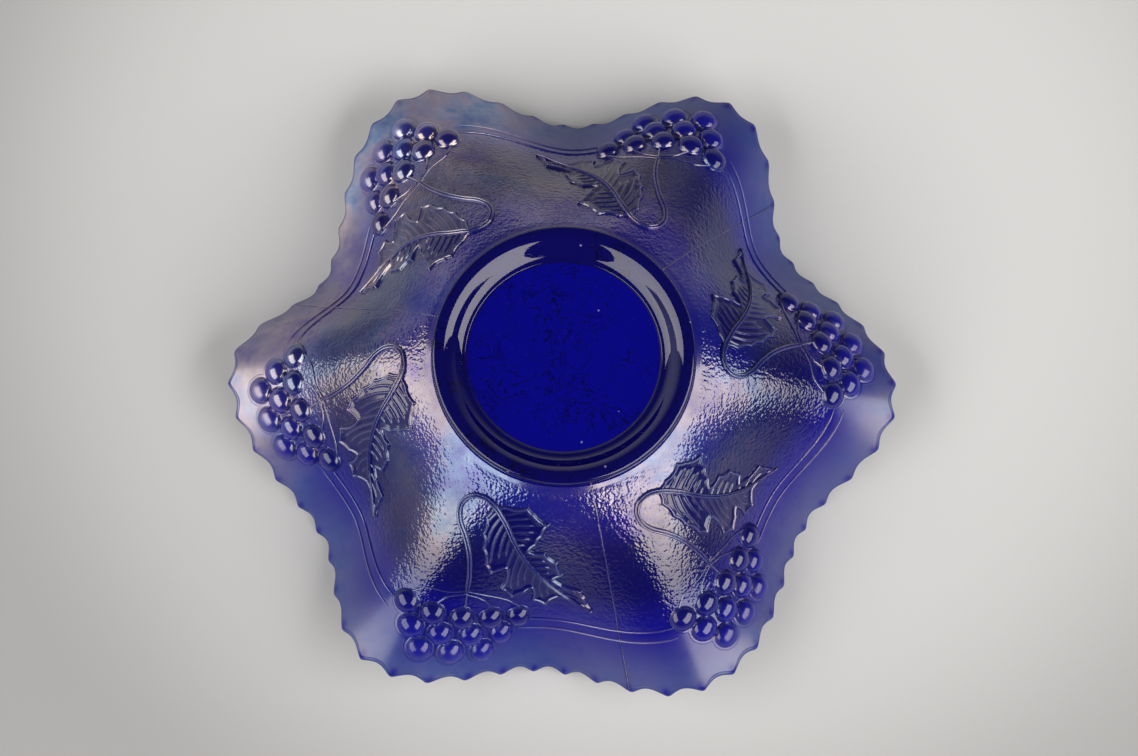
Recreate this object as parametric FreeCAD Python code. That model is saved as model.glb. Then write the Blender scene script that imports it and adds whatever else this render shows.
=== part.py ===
"""Ruffled pressed-glass bowl with a collar foot, lying face down on its rim.

Millimetres.  Z points up through the foot, the bowl axis is the Z axis and the
rim rests on z = 0.  The outer skin is one formula: a profile curve from the foot
to the rim, pushed out and lifted by a six-lobed ruffle that grows towards the rim.
"""
import FreeCAD, Part
import math
import os

V = FreeCAD.Vector

# Overall sizes
HEIGHT = 64.0            # resting plane to the foot's contact face
RIM_MEAN = 97.5          # rim radius that the ruffle swings about
THIRDS = 3               # parts of the mould, with a seam between each two
SECTORS = 6              # motifs, one to a lobe

# Ruffle: where each lobe and valley is, in degrees, and how far it leaves RIM_MEAN
LOBE_GROW = 1.0          # scales every one of them
RUFFLE_RISE = 7.5        # lobe rims rise and valley rims fall by this
LOBE_AT = (-3.0, 59.0, 119.0, 178.0, 236.0, 296.0)
LOBE_OUT = (12.5, 14.5, 15.5, 13.5, 14.5, 13.0)
VALLEY_AT = (32.0, 88.0, 154.0, 211.0, 266.0, 330.0)
VALLEY_OUT = (-7.5, -3.5, -6.5, -2.5, -3.5, -4.5)
RUFFLE_START = 0.15      # larger keeps the ruffle further from the foot

# Glass
WALL_FOOT = 5.0
WALL_RIM = 3.2
LEAVE_FOOT = 28.0        # profile slope at the foot, degrees below level
LEAVE_RIM = 34.0         # profile slope at the rim
PROFILE_ARM = 0.35       # reach of the profile's end slopes, in parts of its length
WALL_ROWS = 13           # grid rows from foot to rim
WALL_COLUMNS = 33        # grid columns in each third

# Foot
FOOT_OUT = 41.5
FOOT_HIGH = 5.0
FOOT_LAND_OUT = FOOT_OUT - 1.3
FOOT_LAND_IN = FOOT_OUT - 3.1
FOOT_TOE = FOOT_OUT - 11.2
FOOT_SLOPE = ((5.9, 0.6), (4.4, 2.0), (2.4, 4.0))    # (in from the land, up from the disc)
SHOULDER_HIGH = 1.7      # rounded outer corner, with the middle of its arc
SHOULDER_MID = (0.3, 0.5)

# Rim edge
TEETH = 60
TOOTH_DEEP = 1.5
TOOTH_POINT = 0.01       # larger rounds the tooth tips
TOOTH_STEPS = 8          # grid columns to a tooth
EDGE_STEPS = 6           # steps round the half circle of the edge
RIM_FROM = 0.95

# Mould seams
SEAM_AT = 42.0
SEAM_HALF = 0.3          # half width in degrees
SEAM_HIGH = 0.3
SEAM_FROM = 0.01

# Twin band lines
BAND_INNER = 0.715
BAND_OUTER = 0.765
BAND_WIDE = 0.010
BAND_HIGH = 0.45
BAND_CLEAR = 16.2        # degrees either side of a cluster left free of lines

# Grape clusters: (distance out from the foot, first grape, step, how many)
MOTIF_AT = 6.3
GRAPE_R = 4.7
GRAPE_SINK = 1.4
GRAPE_ROWS = ((0.690, -10.6, 5.9, 5), (0.776, -7.5, 5.75, 4), (0.860, -4.2, 5.5, 3))

# Layers of space over the skin that trim the motif: (from, to, first degree, last degree)
GRAPE_SPACE = (0.60, 0.95, -17.0, 20.0)
GRAPE_SPACE_HIGH = 8.0
LEAF_SPACE = (0.08, 0.67, -6.0, 34.0)
STEM_SPACE = (0.08, 0.67, -15.0, 18.0)
SPACE_ROWS = 13
SPACE_COLUMNS = 17
MOTIF_MIDDLE = (0.38, 12.0)     # leaf and stem are drawn on the plane that touches the skin here
CUTTER_LOW = 15.0        # cutters stand from this far under that plane
CUTTER_TALL = 40.0
RIBBON_STEPS = 6         # straight steps to each point of a ribbon's path

# Leaf and stem, each point (degrees round from the motif, distance out from the foot)
LEAF_HIGH = 0.7
VEIN_HIGH = 1.2
STEM_HIGH = 1.1
STEM_WIDE = 2.0
MIDRIB_WIDE = 1.5
VEIN_WIDE = 0.8
LEAF_EDGE = (
    (-1.8, 0.131), (3.0, 0.122), (10.6, 0.105), (13.0, 0.130), (19.2, 0.175), (17.0, 0.235),
    (15.4, 0.285), (13.4, 0.320), (18.1, 0.325), (22.1, 0.375), (22.7, 0.415), (23.6, 0.450),
    (21.0, 0.475), (28.6, 0.520), (29.1, 0.560), (31.4, 0.635), (26.5, 0.605), (22.2, 0.575),
    (19.2, 0.635), (15.4, 0.600), (15.2, 0.530), (13.7, 0.555), (10.4, 0.585), (7.4, 0.530),
    (7.6, 0.420), (4.2, 0.465), (2.0, 0.410), (0.0, 0.335), (-1.5, 0.270), (-2.6, 0.195))
MIDRIB = ((0.3, 0.150), (4.5, 0.200), (8.0, 0.270), (11.5, 0.345), (15.0, 0.415), (19.0, 0.485),
          (23.5, 0.550), (28.5, 0.605))
VEINS = (((5.0, 0.208), (13.5, 0.190)), ((8.2, 0.275), (14.0, 0.265)),
         ((13.0, 0.375), (18.5, 0.385)), ((19.5, 0.495), (25.5, 0.540)),
         ((3.5, 0.185), (3.0, 0.380)), ((11.0, 0.335), (10.4, 0.520)),
         ((17.5, 0.460), (18.8, 0.580)))
STEM = ((0.3, 0.560), (-0.6, 0.470), (-2.5, 0.380), (-5.5, 0.310), (-9.0, 0.260),
        (-11.0, 0.215), (-11.0, 0.170), (-9.0, 0.137), (-6.0, 0.126), (-3.0, 0.130))
STALKS = (((0.2, 0.555), (-3.5, 0.575), (-8.0, 0.590)), ((0.2, 0.570), (-3.0, 0.595)),
          ((0.3, 0.560), (0.7, 0.590)), ((0.3, 0.570), (4.0, 0.590)),
          ((0.2, 0.555), (5.0, 0.570), (9.5, 0.595)))
STALK_WIDE = 0.9
STALK_CLEAR = 0.3        # gap left between a stalk and its grape


def ruffle(phi):
    """How far the rim leaves RIM_MEAN, and the wave (1 at a lobe, -1 at a valley), at an angle."""
    marks = []
    for at, out in zip(LOBE_AT, LOBE_OUT):
        marks.append((at % 360.0, out, 1.0))
    for at, out in zip(VALLEY_AT, VALLEY_OUT):
        marks.append((at % 360.0, out, -1.0))
    marks.sort()
    marks.append((marks[0][0] + 360.0, marks[0][1], marks[0][2]))
    turn = (phi - marks[0][0]) % 360.0 + marks[0][0]
    for low, high in zip(marks, marks[1:]):
        if turn <= high[0]:
            break
    part = (1.0 - math.cos(math.pi * (turn - low[0]) / (high[0] - low[0]))) / 2.0
    out = low[1] + (high[1] - low[1]) * part
    return out * LOBE_GROW, low[2] + (high[2] - low[2]) * part


def profile(u, rim_z):
    """Radius and height of the plain, unruffled outer profile; u runs 0 at the foot to 1."""
    top = HEIGHT - FOOT_HIGH
    arm = PROFILE_ARM * math.hypot(RIM_MEAN - FOOT_OUT, top - rim_z)
    a, b = math.radians(LEAVE_FOOT), math.radians(LEAVE_RIM)
    x = (FOOT_OUT, FOOT_OUT + arm * math.cos(a), RIM_MEAN - arm * math.cos(b), RIM_MEAN)
    z = (top, top - arm * math.sin(a), rim_z + arm * math.sin(b), rim_z)
    k = ((1 - u) ** 3, 3 * (1 - u) ** 2 * u, 3 * (1 - u) * u * u, u ** 3)
    return sum(p * q for p, q in zip(k, x)), sum(p * q for p, q in zip(k, z))


def outer(u, phi, rim_z):
    """Point of the outer skin."""
    r, z = profile(u, rim_z)
    out, wave = ruffle(phi)
    grow = u * u * (1.0 + RUFFLE_START) / (u + RUFFLE_START)
    r += grow * out
    a = math.radians(phi)
    return V(r * math.cos(a), r * math.sin(a), z + grow * RUFFLE_RISE * wave)


def normal(u, phi, rim_z):
    """Outward unit normal of the outer skin."""
    h = 0.004
    along = outer(u + h, phi, rim_z) - outer(u - h, phi, rim_z)
    if u < h:
        along = outer(h, phi, rim_z) - outer(0.0, phi, rim_z)
    across = outer(u, phi + 0.2, rim_z) - outer(u, phi - 0.2, rim_z)
    n = along.cross(across)
    n.normalize()
    return n


def glass(u):
    """Wall thickness, thinner towards the rim."""
    return WALL_FOOT + (WALL_RIM - WALL_FOOT) * u


def tooth(phi):
    """How far the scalloped edge draws back from its tooth tips."""
    wave = math.sin(math.radians((phi - SEAM_AT) * TEETH / 2.0))
    return TOOTH_DEEP * (math.sqrt(wave * wave + TOOTH_POINT) - math.sqrt(TOOTH_POINT))


def reach_of(low, high, phi, rim_z):
    """Millimetres of skin to one unit of distance out, measured between two places."""
    return (outer(high, phi, rim_z) - outer(low, phi, rim_z)).Length / (high - low)


def rim_section(phi, rim_z):
    """Points of the rim's cross-section: out along the inside, round the edge and back."""
    run = reach_of(0.96, 1.0, phi, rim_z)
    half = WALL_RIM / 2.0
    stop = 1.0 + (TOOTH_DEEP - tooth(phi) - half) / run
    mid = (RIM_FROM + stop) / 2.0
    places = [(RIM_FROM, -glass(RIM_FROM)), (mid, -glass(mid))]
    for step in range(EDGE_STEPS + 1):
        t = math.pi * step / EDGE_STEPS
        places.append((stop + half * math.sin(t) / run, -half - half * math.cos(t)))
    places += [(mid, 0.0), (RIM_FROM, 0.0)]
    return [outer(u, phi, rim_z) + normal(u, phi, rim_z) * off for u, off in places]


def settled_rim():
    """Mean height of the outer rim that puts the lowest point of the glass on z = 0."""
    rim_z = RUFFLE_RISE
    for _ in range(4):
        low = min(p.z for phi in range(0, 360, 3) for p in rim_section(phi, rim_z))
        rim_z -= low
    return rim_z


RIM_Z = settled_rim()


def skin(u, phi, off=0.0):
    """Point at a distance off the outer skin, outward positive."""
    return outer(u, phi, RIM_Z) + normal(u, phi, RIM_Z) * off


def line_through(points, marks=None):
    """Smooth curve through points, evenly timed unless marks are given."""
    curve = Part.BSplineCurve()
    curve.interpolate(Points=list(points), Parameters=marks or [float(i) for i in range(len(points))])
    return curve


def grid_face(rows, marks=None):
    """Smooth face through a grid of points; neighbours that share a row share the edge exactly."""
    along = [line_through(row, marks) for row in rows]
    across = [line_through(column) for column in zip(*[curve.getPoles() for curve in along])]
    poles = [list(row) for row in zip(*[curve.getPoles() for curve in across])]
    one, two = across[0], along[0]
    surface = Part.BSplineSurface()
    surface.buildFromPolesMultsKnots(poles, one.getMultiplicities(), two.getMultiplicities(),
                                     one.getKnots(), two.getKnots(), False, False,
                                     one.Degree, two.Degree)
    return surface.toShape()


def ruled(first, second, marks=None):
    """Straight-sided face between two rows of points."""
    return Part.makeRuledSurface(line_through(first, marks).toShape(),
                                 line_through(second, marks).toShape())


def closed_solid(faces):
    """Solid from faces that share their edges."""
    shell = Part.Shell(faces)
    shell.sewShape()
    solid = Part.Solid(shell)
    if solid.Volume < 0:
        solid.reverse()
    return solid


def between(low, high):
    """Solid between two equal grids of points."""
    faces = [grid_face(low), grid_face(high)]
    columns_low, columns_high = list(zip(*low)), list(zip(*high))
    for a, b in ((low[0], high[0]), (low[-1], high[-1]),
                 (columns_low[0], columns_high[0]), (columns_low[-1], columns_high[-1])):
        faces.append(ruled(a, b))
    return closed_solid(faces)


def spread(start, stop, count):
    """Evenly spaced values, both ends included."""
    return [start + (stop - start) * i / (count - 1.0) for i in range(count)]


def layer(u0, u1, a0, a1, low, high, rows, columns):
    """Solid that follows the skin between two distances off it."""
    us, turns = spread(u0, u1, rows), spread(a0, a1, columns)
    floor = [[skin(u, a, low(u)) for a in turns] for u in us]
    roof = [[skin(u, a, high(u)) for a in turns] for u in us]
    return between(floor, roof)


def wall_third(k):
    """One third of the wall, from one mould seam to the next."""
    a = SEAM_AT + 120.0 * k
    return layer(0.0, RIM_FROM, a, a + 120.0, lambda u: -glass(u), lambda u: 0.0,
                 WALL_ROWS, WALL_COLUMNS)


def rim_third(k):
    """Faces of one third of the rim: its skin and the strip that meets the wall."""
    a = SEAM_AT + 120.0 * k
    sections = [rim_section(phi, RIM_Z) for phi in spread(a, a + 120.0, TOOTH_STEPS * TEETH // THIRDS + 1)]
    first = rim_section(SEAM_AT, RIM_Z)
    marks = [0.0]
    for p, q in zip(first, first[1:]):
        marks.append(marks[-1] + (q - p).Length)
    return [grid_face(sections, marks), ruled([s[0] for s in sections], [s[-1] for s in sections])]


def scalloped_rim():
    """The toothed rim, one closed ring."""
    faces = []
    for k in range(THIRDS):
        faces += rim_third(k)
    return closed_solid(faces)


def base_disc():
    """Flat centre of the bowl, cut to the slope of the wall's foot edge."""
    inner = skin(0.0, 0.0, -glass(0.0))
    top = HEIGHT - FOOT_HIGH
    points = [V(0, 0, inner.z), V(inner.x, 0, inner.z), V(FOOT_OUT, 0, top), V(0, 0, top)]
    face = Part.Face(Part.makePolygon(points + points[:1]))
    return face.revolve(V(0, 0, 0), V(0, 0, 1), 360)


def foot_ring():
    """Collar foot with a flat contact land and a curved inner slope."""
    low, top = HEIGHT - FOOT_HIGH, HEIGHT
    slope = Part.BSplineCurve()
    slope.interpolate([V(FOOT_TOE, 0, low)] + [V(FOOT_LAND_IN - x, 0, low + z) for x, z in FOOT_SLOPE]
                      + [V(FOOT_LAND_IN, 0, top)])
    corner = V(FOOT_OUT, 0, top - SHOULDER_HIGH)
    middle = V(FOOT_OUT - SHOULDER_MID[0], 0, top - SHOULDER_MID[1])
    shoulder = Part.Arc(V(FOOT_LAND_OUT, 0, top), middle, corner)
    edges = [slope.toShape(), Part.makeLine(V(FOOT_LAND_IN, 0, top), V(FOOT_LAND_OUT, 0, top)),
             shoulder.toShape(), Part.makeLine(corner, V(FOOT_OUT, 0, low)),
             Part.makeLine(V(FOOT_OUT, 0, low), V(FOOT_TOE, 0, low))]
    return Part.Face(Part.Wire(edges)).revolve(V(0, 0, 0), V(0, 0, 1), 360)


def seam(k):
    """Raised mould seam."""
    a = SEAM_AT + 120.0 * k
    return layer(SEAM_FROM, RIM_FROM, a - SEAM_HALF, a + SEAM_HALF,
                 lambda u: 0.0, lambda u: SEAM_HIGH, WALL_ROWS, 3)


def band_line(middle):
    """One fine raised line round the bowl, left out under the clusters and at the seams."""
    arcs = []
    for k in range(SECTORS):
        a = MOTIF_AT + 60.0 * k + BAND_CLEAR
        stops = [a, a + 60.0 - 2 * BAND_CLEAR]
        for third in range(THIRDS):
            s = SEAM_AT + 120.0 * third
            if stops[0] < s < stops[-1]:
                stops[1:1] = [s - SEAM_HALF, s + SEAM_HALF]
        half = BAND_WIDE / 2.0
        for start, stop in zip(stops[::2], stops[1::2]):
            arcs.append(layer(middle - half, middle + half, start, stop,
                              lambda u: 0.0, lambda u: BAND_HIGH, 3, 9))
    return Part.makeCompound(arcs)


def grape_cluster(k):
    """Twelve grapes in rows of five, four and three, merged where they touch."""
    at = MOTIF_AT + 60.0 * k
    balls = []
    for u, first, step, count in GRAPE_ROWS:
        for i in range(count):
            balls.append(Part.makeSphere(GRAPE_R, skin(u, at + first + step * i, -GRAPE_SINK)))
    bunch = balls[0].fuse(balls[1:])
    return bunch.common(space(GRAPE_SPACE, at, GRAPE_SPACE_HIGH))


def space(limits, at, high):
    """Layer of this height over a motif's part of the skin."""
    start, stop, first, last = limits
    return layer(start, stop, at + first, at + last, lambda u: 0.0, lambda u: high,
                 SPACE_ROWS, SPACE_COLUMNS)


def drawing_plane(at):
    """Point and outward direction of the plane on which a motif's outlines are drawn."""
    u, turn = MOTIF_MIDDLE
    return skin(u, at + turn), normal(u, at + turn, RIM_Z)


def prism(places, at):
    """Tall prism standing on the skin over an outline of (degrees, distance out) points."""
    foot, up = drawing_plane(at)
    flat = []
    for a, u in places:
        p = skin(u, at + a)
        flat.append(p - up * ((p - foot).dot(up) + CUTTER_LOW))
    return Part.Face(Part.makePolygon(flat + flat[:1])).extrude(up * CUTTER_TALL)


def ribbon(path, wide, at):
    """Outline of a strip of constant width along a path on the skin."""
    curve = Part.BSplineCurve()
    curve.interpolate([skin(u, at + a) for a, u in path])
    foot, up = drawing_plane(at)
    left, right = [], []
    for t in spread(curve.FirstParameter, curve.LastParameter, RIBBON_STEPS * len(path)):
        p = curve.value(t)
        side = curve.tangent(t)[0].cross(up)
        side.normalize()
        p = p - up * ((p - foot).dot(up) + CUTTER_LOW)
        left.append(p + side * (wide / 2.0))
        right.append(p - side * (wide / 2.0))
    points = left + right[::-1]
    return Part.Face(Part.makePolygon(points + points[:1])).extrude(up * CUTTER_TALL)


def leaf(k):
    """Raised vine leaf with its midrib and main veins."""
    at = MOTIF_AT + 60.0 * k
    blade = prism(LEAF_EDGE, at).common(space(LEAF_SPACE, at, LEAF_HIGH))
    lines = ribbon(MIDRIB, MIDRIB_WIDE, at).fuse([ribbon(v, VEIN_WIDE, at) for v in VEINS])
    return blade.fuse(lines.common(space(LEAF_SPACE, at, VEIN_HIGH)))


def stalk_stop(at):
    """Distance out at which a stalk ends, just short of the first row of grapes."""
    row = GRAPE_ROWS[0][0]
    grape = math.sqrt(GRAPE_R ** 2 - GRAPE_SINK ** 2)
    return row - (grape + STALK_CLEAR) / reach_of(row - 0.05, row, at, RIM_Z)


def stem(k):
    """Looping stem with the short stalks that reach the first row of grapes."""
    at = MOTIF_AT + 60.0 * k
    first, step = GRAPE_ROWS[0][1:3]
    stalks = []
    for i, path in enumerate(STALKS):
        grape = first + step * i
        stalks.append(ribbon(path + ((grape, stalk_stop(at + grape)),), STALK_WIDE, at))
    return ribbon(STEM, STEM_WIDE, at).fuse(stalks).common(space(STEM_SPACE, at, STEM_HIGH))


def save(name, shape):
    """Write one sub-part."""
    shape.exportStep(os.path.join("parts", name + ".step"))


def main():
    """Build and write every sub-part."""
    os.makedirs("parts", exist_ok=True)
    save("base_disc", base_disc())
    save("foot_ring", foot_ring())
    save("scalloped_rim", scalloped_rim())
    save("band_line_inner", band_line(BAND_INNER))
    save("band_line_outer", band_line(BAND_OUTER))
    for k in range(THIRDS):
        save("wall_third_%d" % (k + 1), wall_third(k))
        save("mould_seam_%d" % (k + 1), seam(k))
    for k in range(SECTORS):
        save("grape_cluster_%d" % (k + 1), grape_cluster(k))
        save("leaf_%d" % (k + 1), leaf(k))
        save("stem_%d" % (k + 1), stem(k))


main()
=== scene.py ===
"""Looks of a ruffled, iridised pressed-glass bowl that lies face down on its rim.

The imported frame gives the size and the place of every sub-part.  Each visible piece is a
surface worked out with numpy over one skin formula: a profile curve from foot to rim, pushed
out and lifted by six ruffles that grow towards the rim.
"""
import math
import bpy
import numpy as np
from bpy.props import FloatProperty, FloatVectorProperty, IntProperty, PointerProperty
from mathutils import Matrix, Vector


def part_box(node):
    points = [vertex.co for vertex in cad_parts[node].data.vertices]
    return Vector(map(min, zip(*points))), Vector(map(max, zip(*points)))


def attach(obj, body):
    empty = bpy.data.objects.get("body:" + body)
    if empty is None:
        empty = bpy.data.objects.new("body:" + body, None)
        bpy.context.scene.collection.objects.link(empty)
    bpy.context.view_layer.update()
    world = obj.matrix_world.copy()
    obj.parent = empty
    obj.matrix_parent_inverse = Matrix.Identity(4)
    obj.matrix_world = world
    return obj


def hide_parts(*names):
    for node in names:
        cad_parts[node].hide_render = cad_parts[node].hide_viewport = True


bl_info = {
    "name": "Ruffled iridised glass bowl",
    "version": (1, 0, 0),
    "blender": (4, 5, 0),
    "location": "View3D > Sidebar > Glass Bowl",
    "description": "Builds a pressed-glass bowl with grape and leaf relief round its packed frame",
    "category": "Add Mesh",
}

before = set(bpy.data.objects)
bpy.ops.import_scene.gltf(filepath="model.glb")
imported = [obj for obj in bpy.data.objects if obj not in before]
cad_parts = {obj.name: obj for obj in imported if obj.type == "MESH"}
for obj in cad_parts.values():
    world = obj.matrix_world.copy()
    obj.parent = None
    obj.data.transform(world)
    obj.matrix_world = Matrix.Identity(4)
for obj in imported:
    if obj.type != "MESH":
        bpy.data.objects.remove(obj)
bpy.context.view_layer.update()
FOOT_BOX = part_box("foot_ring")
DISC_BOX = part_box("base_disc")
HEIGHT = 1000.0 * FOOT_BOX[1].z
FOOT_LOW = 1000.0 * FOOT_BOX[0].z
FOOT_OUT = 1000.0 * DISC_BOX[1].x
DISC_LOW = 1000.0 * DISC_BOX[0].z

MM = 0.001
BODY = "root"
SEAM_AT = 42.0
MOTIF_AT = 6.3
SECTORS = 6
THIRDS = 3
RIM_MEAN = 97.5
RUFFLE_RISE = 7.5
LOBE_AT = (-3.0, 59.0, 119.0, 178.0, 236.0, 296.0)
LOBE_REACH = (110.0, 112.0, 113.0, 111.0, 112.0, 110.5)
VALLEY_AT = (32.0, 88.0, 154.0, 211.0, 266.0, 330.0)
VALLEY_REACH = (90.0, 94.0, 91.0, 95.0, 94.0, 93.0)
RUFFLE_START = 0.15
LEAVE_FOOT = 28.0
LEAVE_RIM = 34.0
WALL_FOOT = 5.0
WALL_RIM = 3.2
TEETH = 60
TOOTH_DEEP = 2.4
TOOTH_OUT = 1.5
BAND_AT = (0.715, 0.765)
BAND_CLEAR = 13.0
# Rows of grapes: distance out, first grape's angle from the motif, step and count
GRAPE_ROWS = ((0.690, -10.6, 5.9, 5), (0.776, -7.5, 5.75, 4), (0.860, -4.2, 5.5, 3))

SECTOR_TURN = 360.0 / SECTORS    # degrees between motifs
THIRD_TURN = 360.0 / THIRDS      # degrees between seams
MM_PER_DEGREE = 1.4              # plan scales for lines drawn on the wall
MM_PER_REACH = 80.0
LEAF_MIDDLE = 12.0               # degrees from the motif to the leaf's middle
UNDER_SKIN = 0.6                 # how deep the lower face of a leaf or cluster lies, millimetres
EDGE_DIP = 0.35                  # how far its upper face dips under the skin at the edge
CLUSTER_MARGIN = 1.3             # millimetres kept round a cluster
EDGE_MARGIN = 1.5                # millimetres from the wall's edge to the tooth line
ROWS_OUTSIDE, ROWS_INSIDE = 176, 44
STEPS_PER_TOOTH, BEAD_STEPS = 24, 20
FOOT_STEPS, DISC_STEPS = 256, 192
DISC_TOP_RINGS, DISC_LOW_RINGS = 60, 40
POLE = 0.05                      # radius of the small cap at each pole of the disc, millimetres
LINE_WIDTH, STALK_WIDTH = 0.8, 0.8
STEM_STEPS, STALK_STEPS, BAND_STEPS, SEAM_STEPS = 260, 40, 90, 160

# Lights, floor and camera, in metres but for the lens and sensor
WINDOW_SIZE = (2.1, 1.05)
WINDOW_COLOUR = (1.0, 0.96, 0.91)
WINDOW_AIM = (0.0, 0.0, 0.03)
FLOOR_HALF = 6.0
LENS, SENSOR = 74.5, 36.0
CAMERA_AIM = (0.0017, 0.0053, 0.0)

# Leaf outline, midrib, veins, stem and stalks as points: (degrees round from the motif, distance out)
LEAF_EDGE = (
    (-1.8, 0.131), (3.0, 0.122), (10.6, 0.105), (13.0, 0.130), (19.2, 0.175), (17.0, 0.235),
    (15.4, 0.285), (13.4, 0.320), (18.1, 0.325), (22.1, 0.375), (22.7, 0.415), (23.6, 0.450),
    (21.0, 0.475), (28.6, 0.520), (29.1, 0.560), (31.4, 0.635), (26.5, 0.605), (22.2, 0.575),
    (19.2, 0.635), (15.4, 0.600), (15.2, 0.530), (13.7, 0.555), (10.4, 0.585), (7.4, 0.530),
    (7.6, 0.420), (4.2, 0.465), (2.0, 0.410), (0.0, 0.335), (-1.5, 0.270), (-2.6, 0.195))
MIDRIB = ((-3.0, 0.130), (0.3, 0.150), (4.5, 0.200), (8.0, 0.270), (11.5, 0.345), (15.0, 0.415),
          (19.0, 0.485), (23.5, 0.550), (28.5, 0.605), (30.6, 0.628))
VEINS = (
    ((1.8, 0.165), (5.5, 0.150), (9.8, 0.122)), ((3.6, 0.185), (8.5, 0.163), (14.5, 0.152)),
    ((5.2, 0.210), (10.0, 0.190), (16.5, 0.186)), ((6.6, 0.236), (11.0, 0.222), (16.6, 0.225)),
    ((8.0, 0.265), (11.5, 0.258), (15.6, 0.262)), ((9.4, 0.295), (11.8, 0.292), (14.2, 0.298)),
    ((11.8, 0.350), (14.5, 0.340), (18.0, 0.342)), ((13.2, 0.380), (16.8, 0.370), (21.2, 0.388)),
    ((14.9, 0.410), (18.4, 0.404), (22.0, 0.424)), ((16.6, 0.440), (19.5, 0.438), (22.2, 0.446)),
    ((19.4, 0.488), (23.0, 0.492), (27.6, 0.526)), ((21.4, 0.518), (24.6, 0.526), (28.4, 0.562)),
    ((23.6, 0.548), (26.4, 0.562), (29.2, 0.594)),
    ((0.8, 0.158), (-0.8, 0.205), (-0.8, 0.260)), ((2.4, 0.176), (0.9, 0.250), (1.2, 0.345)),
    ((4.0, 0.196), (2.8, 0.290), (3.4, 0.430)), ((5.4, 0.222), (4.9, 0.310), (5.4, 0.400)),
    ((7.0, 0.252), (6.8, 0.320), (7.4, 0.385)), ((9.0, 0.295), (7.9, 0.410), (8.6, 0.520)),
    ((10.6, 0.328), (9.6, 0.440), (10.2, 0.560)), ((12.2, 0.362), (11.3, 0.450), (12.0, 0.545)),
    ((13.6, 0.392), (13.0, 0.450), (13.6, 0.515)), ((15.8, 0.432), (15.4, 0.500), (16.6, 0.590)),
    ((17.6, 0.464), (17.3, 0.530), (18.9, 0.612)), ((19.6, 0.498), (19.4, 0.545), (20.4, 0.588)))
STEM = ((0.3, 0.560), (-0.6, 0.470), (-2.5, 0.380), (-5.5, 0.310), (-9.0, 0.260),
        (-11.0, 0.215), (-11.0, 0.170), (-9.0, 0.137), (-6.0, 0.126), (-3.0, 0.130))
STALKS = (((0.2, 0.555), (-3.5, 0.575), (-8.0, 0.590)), ((0.2, 0.570), (-3.0, 0.595)),
          ((0.3, 0.560), (0.7, 0.590)), ((0.3, 0.570), (4.0, 0.590)),
          ((0.2, 0.555), (5.0, 0.570), (9.5, 0.595)))


# ---------------------------------------------------------------- the skin of the glass

def marks_of_ruffle():
    """Angles, reaches and waves of the twelve lobes and valleys, in turn order, closed round."""
    at = np.mod(np.array(LOBE_AT + VALLEY_AT), 360.0)
    reach = np.array(LOBE_REACH + VALLEY_REACH)
    wave = np.repeat([1.0, -1.0], SECTORS)
    order = np.argsort(at)
    at, reach, wave = at[order], reach[order], wave[order]
    return np.append(at, at[0] + 360.0), np.append(reach, reach[0]), np.append(wave, wave[0])


def ruffle(phi):
    """Reach and wave at an angle: half a cosine from each lobe to the next valley."""
    at, reach, wave = marks_of_ruffle()
    turn = np.mod(phi - at[0], 360.0) + at[0]
    i = np.clip(np.searchsorted(at, turn, side="right") - 1, 0, len(at) - 2)
    part = (1.0 - np.cos(np.pi * (turn - at[i]) / (at[i + 1] - at[i]))) / 2.0
    return reach[i] + (reach[i + 1] - reach[i]) * part, wave[i] + (wave[i + 1] - wave[i]) * part


def profile(u, rim_z):
    """Radius and height of the unruffled skin: a cubic curve from the foot's edge to the rim."""
    arm = 0.35 * math.hypot(RIM_MEAN - FOOT_OUT, FOOT_LOW - rim_z)
    a, b = math.radians(LEAVE_FOOT), math.radians(LEAVE_RIM)
    x = (FOOT_OUT, FOOT_OUT + arm * math.cos(a), RIM_MEAN - arm * math.cos(b), RIM_MEAN)
    z = (FOOT_LOW, FOOT_LOW - arm * math.sin(a), rim_z + arm * math.sin(b), rim_z)
    k = ((1 - u) ** 3, 3 * (1 - u) ** 2 * u, 3 * (1 - u) * u * u, u ** 3)
    return sum(p * q for p, q in zip(k, x)), sum(p * q for p, q in zip(k, z))


def outer(u, phi, rim_z):
    """Outer skin: the profile turned round the axis, plus the ruffle grown by u*u/(u + start)."""
    u, phi = np.broadcast_arrays(np.asarray(u, float), np.asarray(phi, float))
    r, z = profile(u, rim_z)
    reach, wave = ruffle(phi)
    grow = u * u * (1.0 + RUFFLE_START) / (u + RUFFLE_START)
    r = r + grow * (reach - RIM_MEAN)
    a = np.radians(phi)
    return np.stack([r * np.cos(a), r * np.sin(a), z + grow * RUFFLE_RISE * wave], -1)


def unit(v):
    """Vectors scaled to length one."""
    return v / np.linalg.norm(v, axis=-1, keepdims=True)


def normal(u, phi, rim_z):
    """Outward normal: cross product of the skin's steps out and round."""
    u = np.asarray(u, float)
    high = np.maximum(u + 0.004, 0.004)
    low = np.where(u < 0.004, 0.0, u - 0.004)
    along = outer(high, phi, rim_z) - outer(low, phi, rim_z)
    across = outer(u, np.asarray(phi) + 0.2, rim_z) - outer(u, np.asarray(phi) - 0.2, rim_z)
    return unit(np.cross(along, across))


def tooth(phi):
    """Draw-back of the scalloped edge: a rounded |sine|, so tips are cusps and gaps are arcs."""
    wave = np.sin(np.radians((phi - SEAM_AT) * TEETH / 2.0))
    return TOOTH_DEEP * (np.sqrt(wave * wave + 0.04) - 0.2) / 0.82


def tip_of(phi):
    """1 at a tooth's tip, falling away quickly to 0 in the gap."""
    return (1.0 - tooth(phi) / TOOTH_DEEP) ** 3


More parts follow.
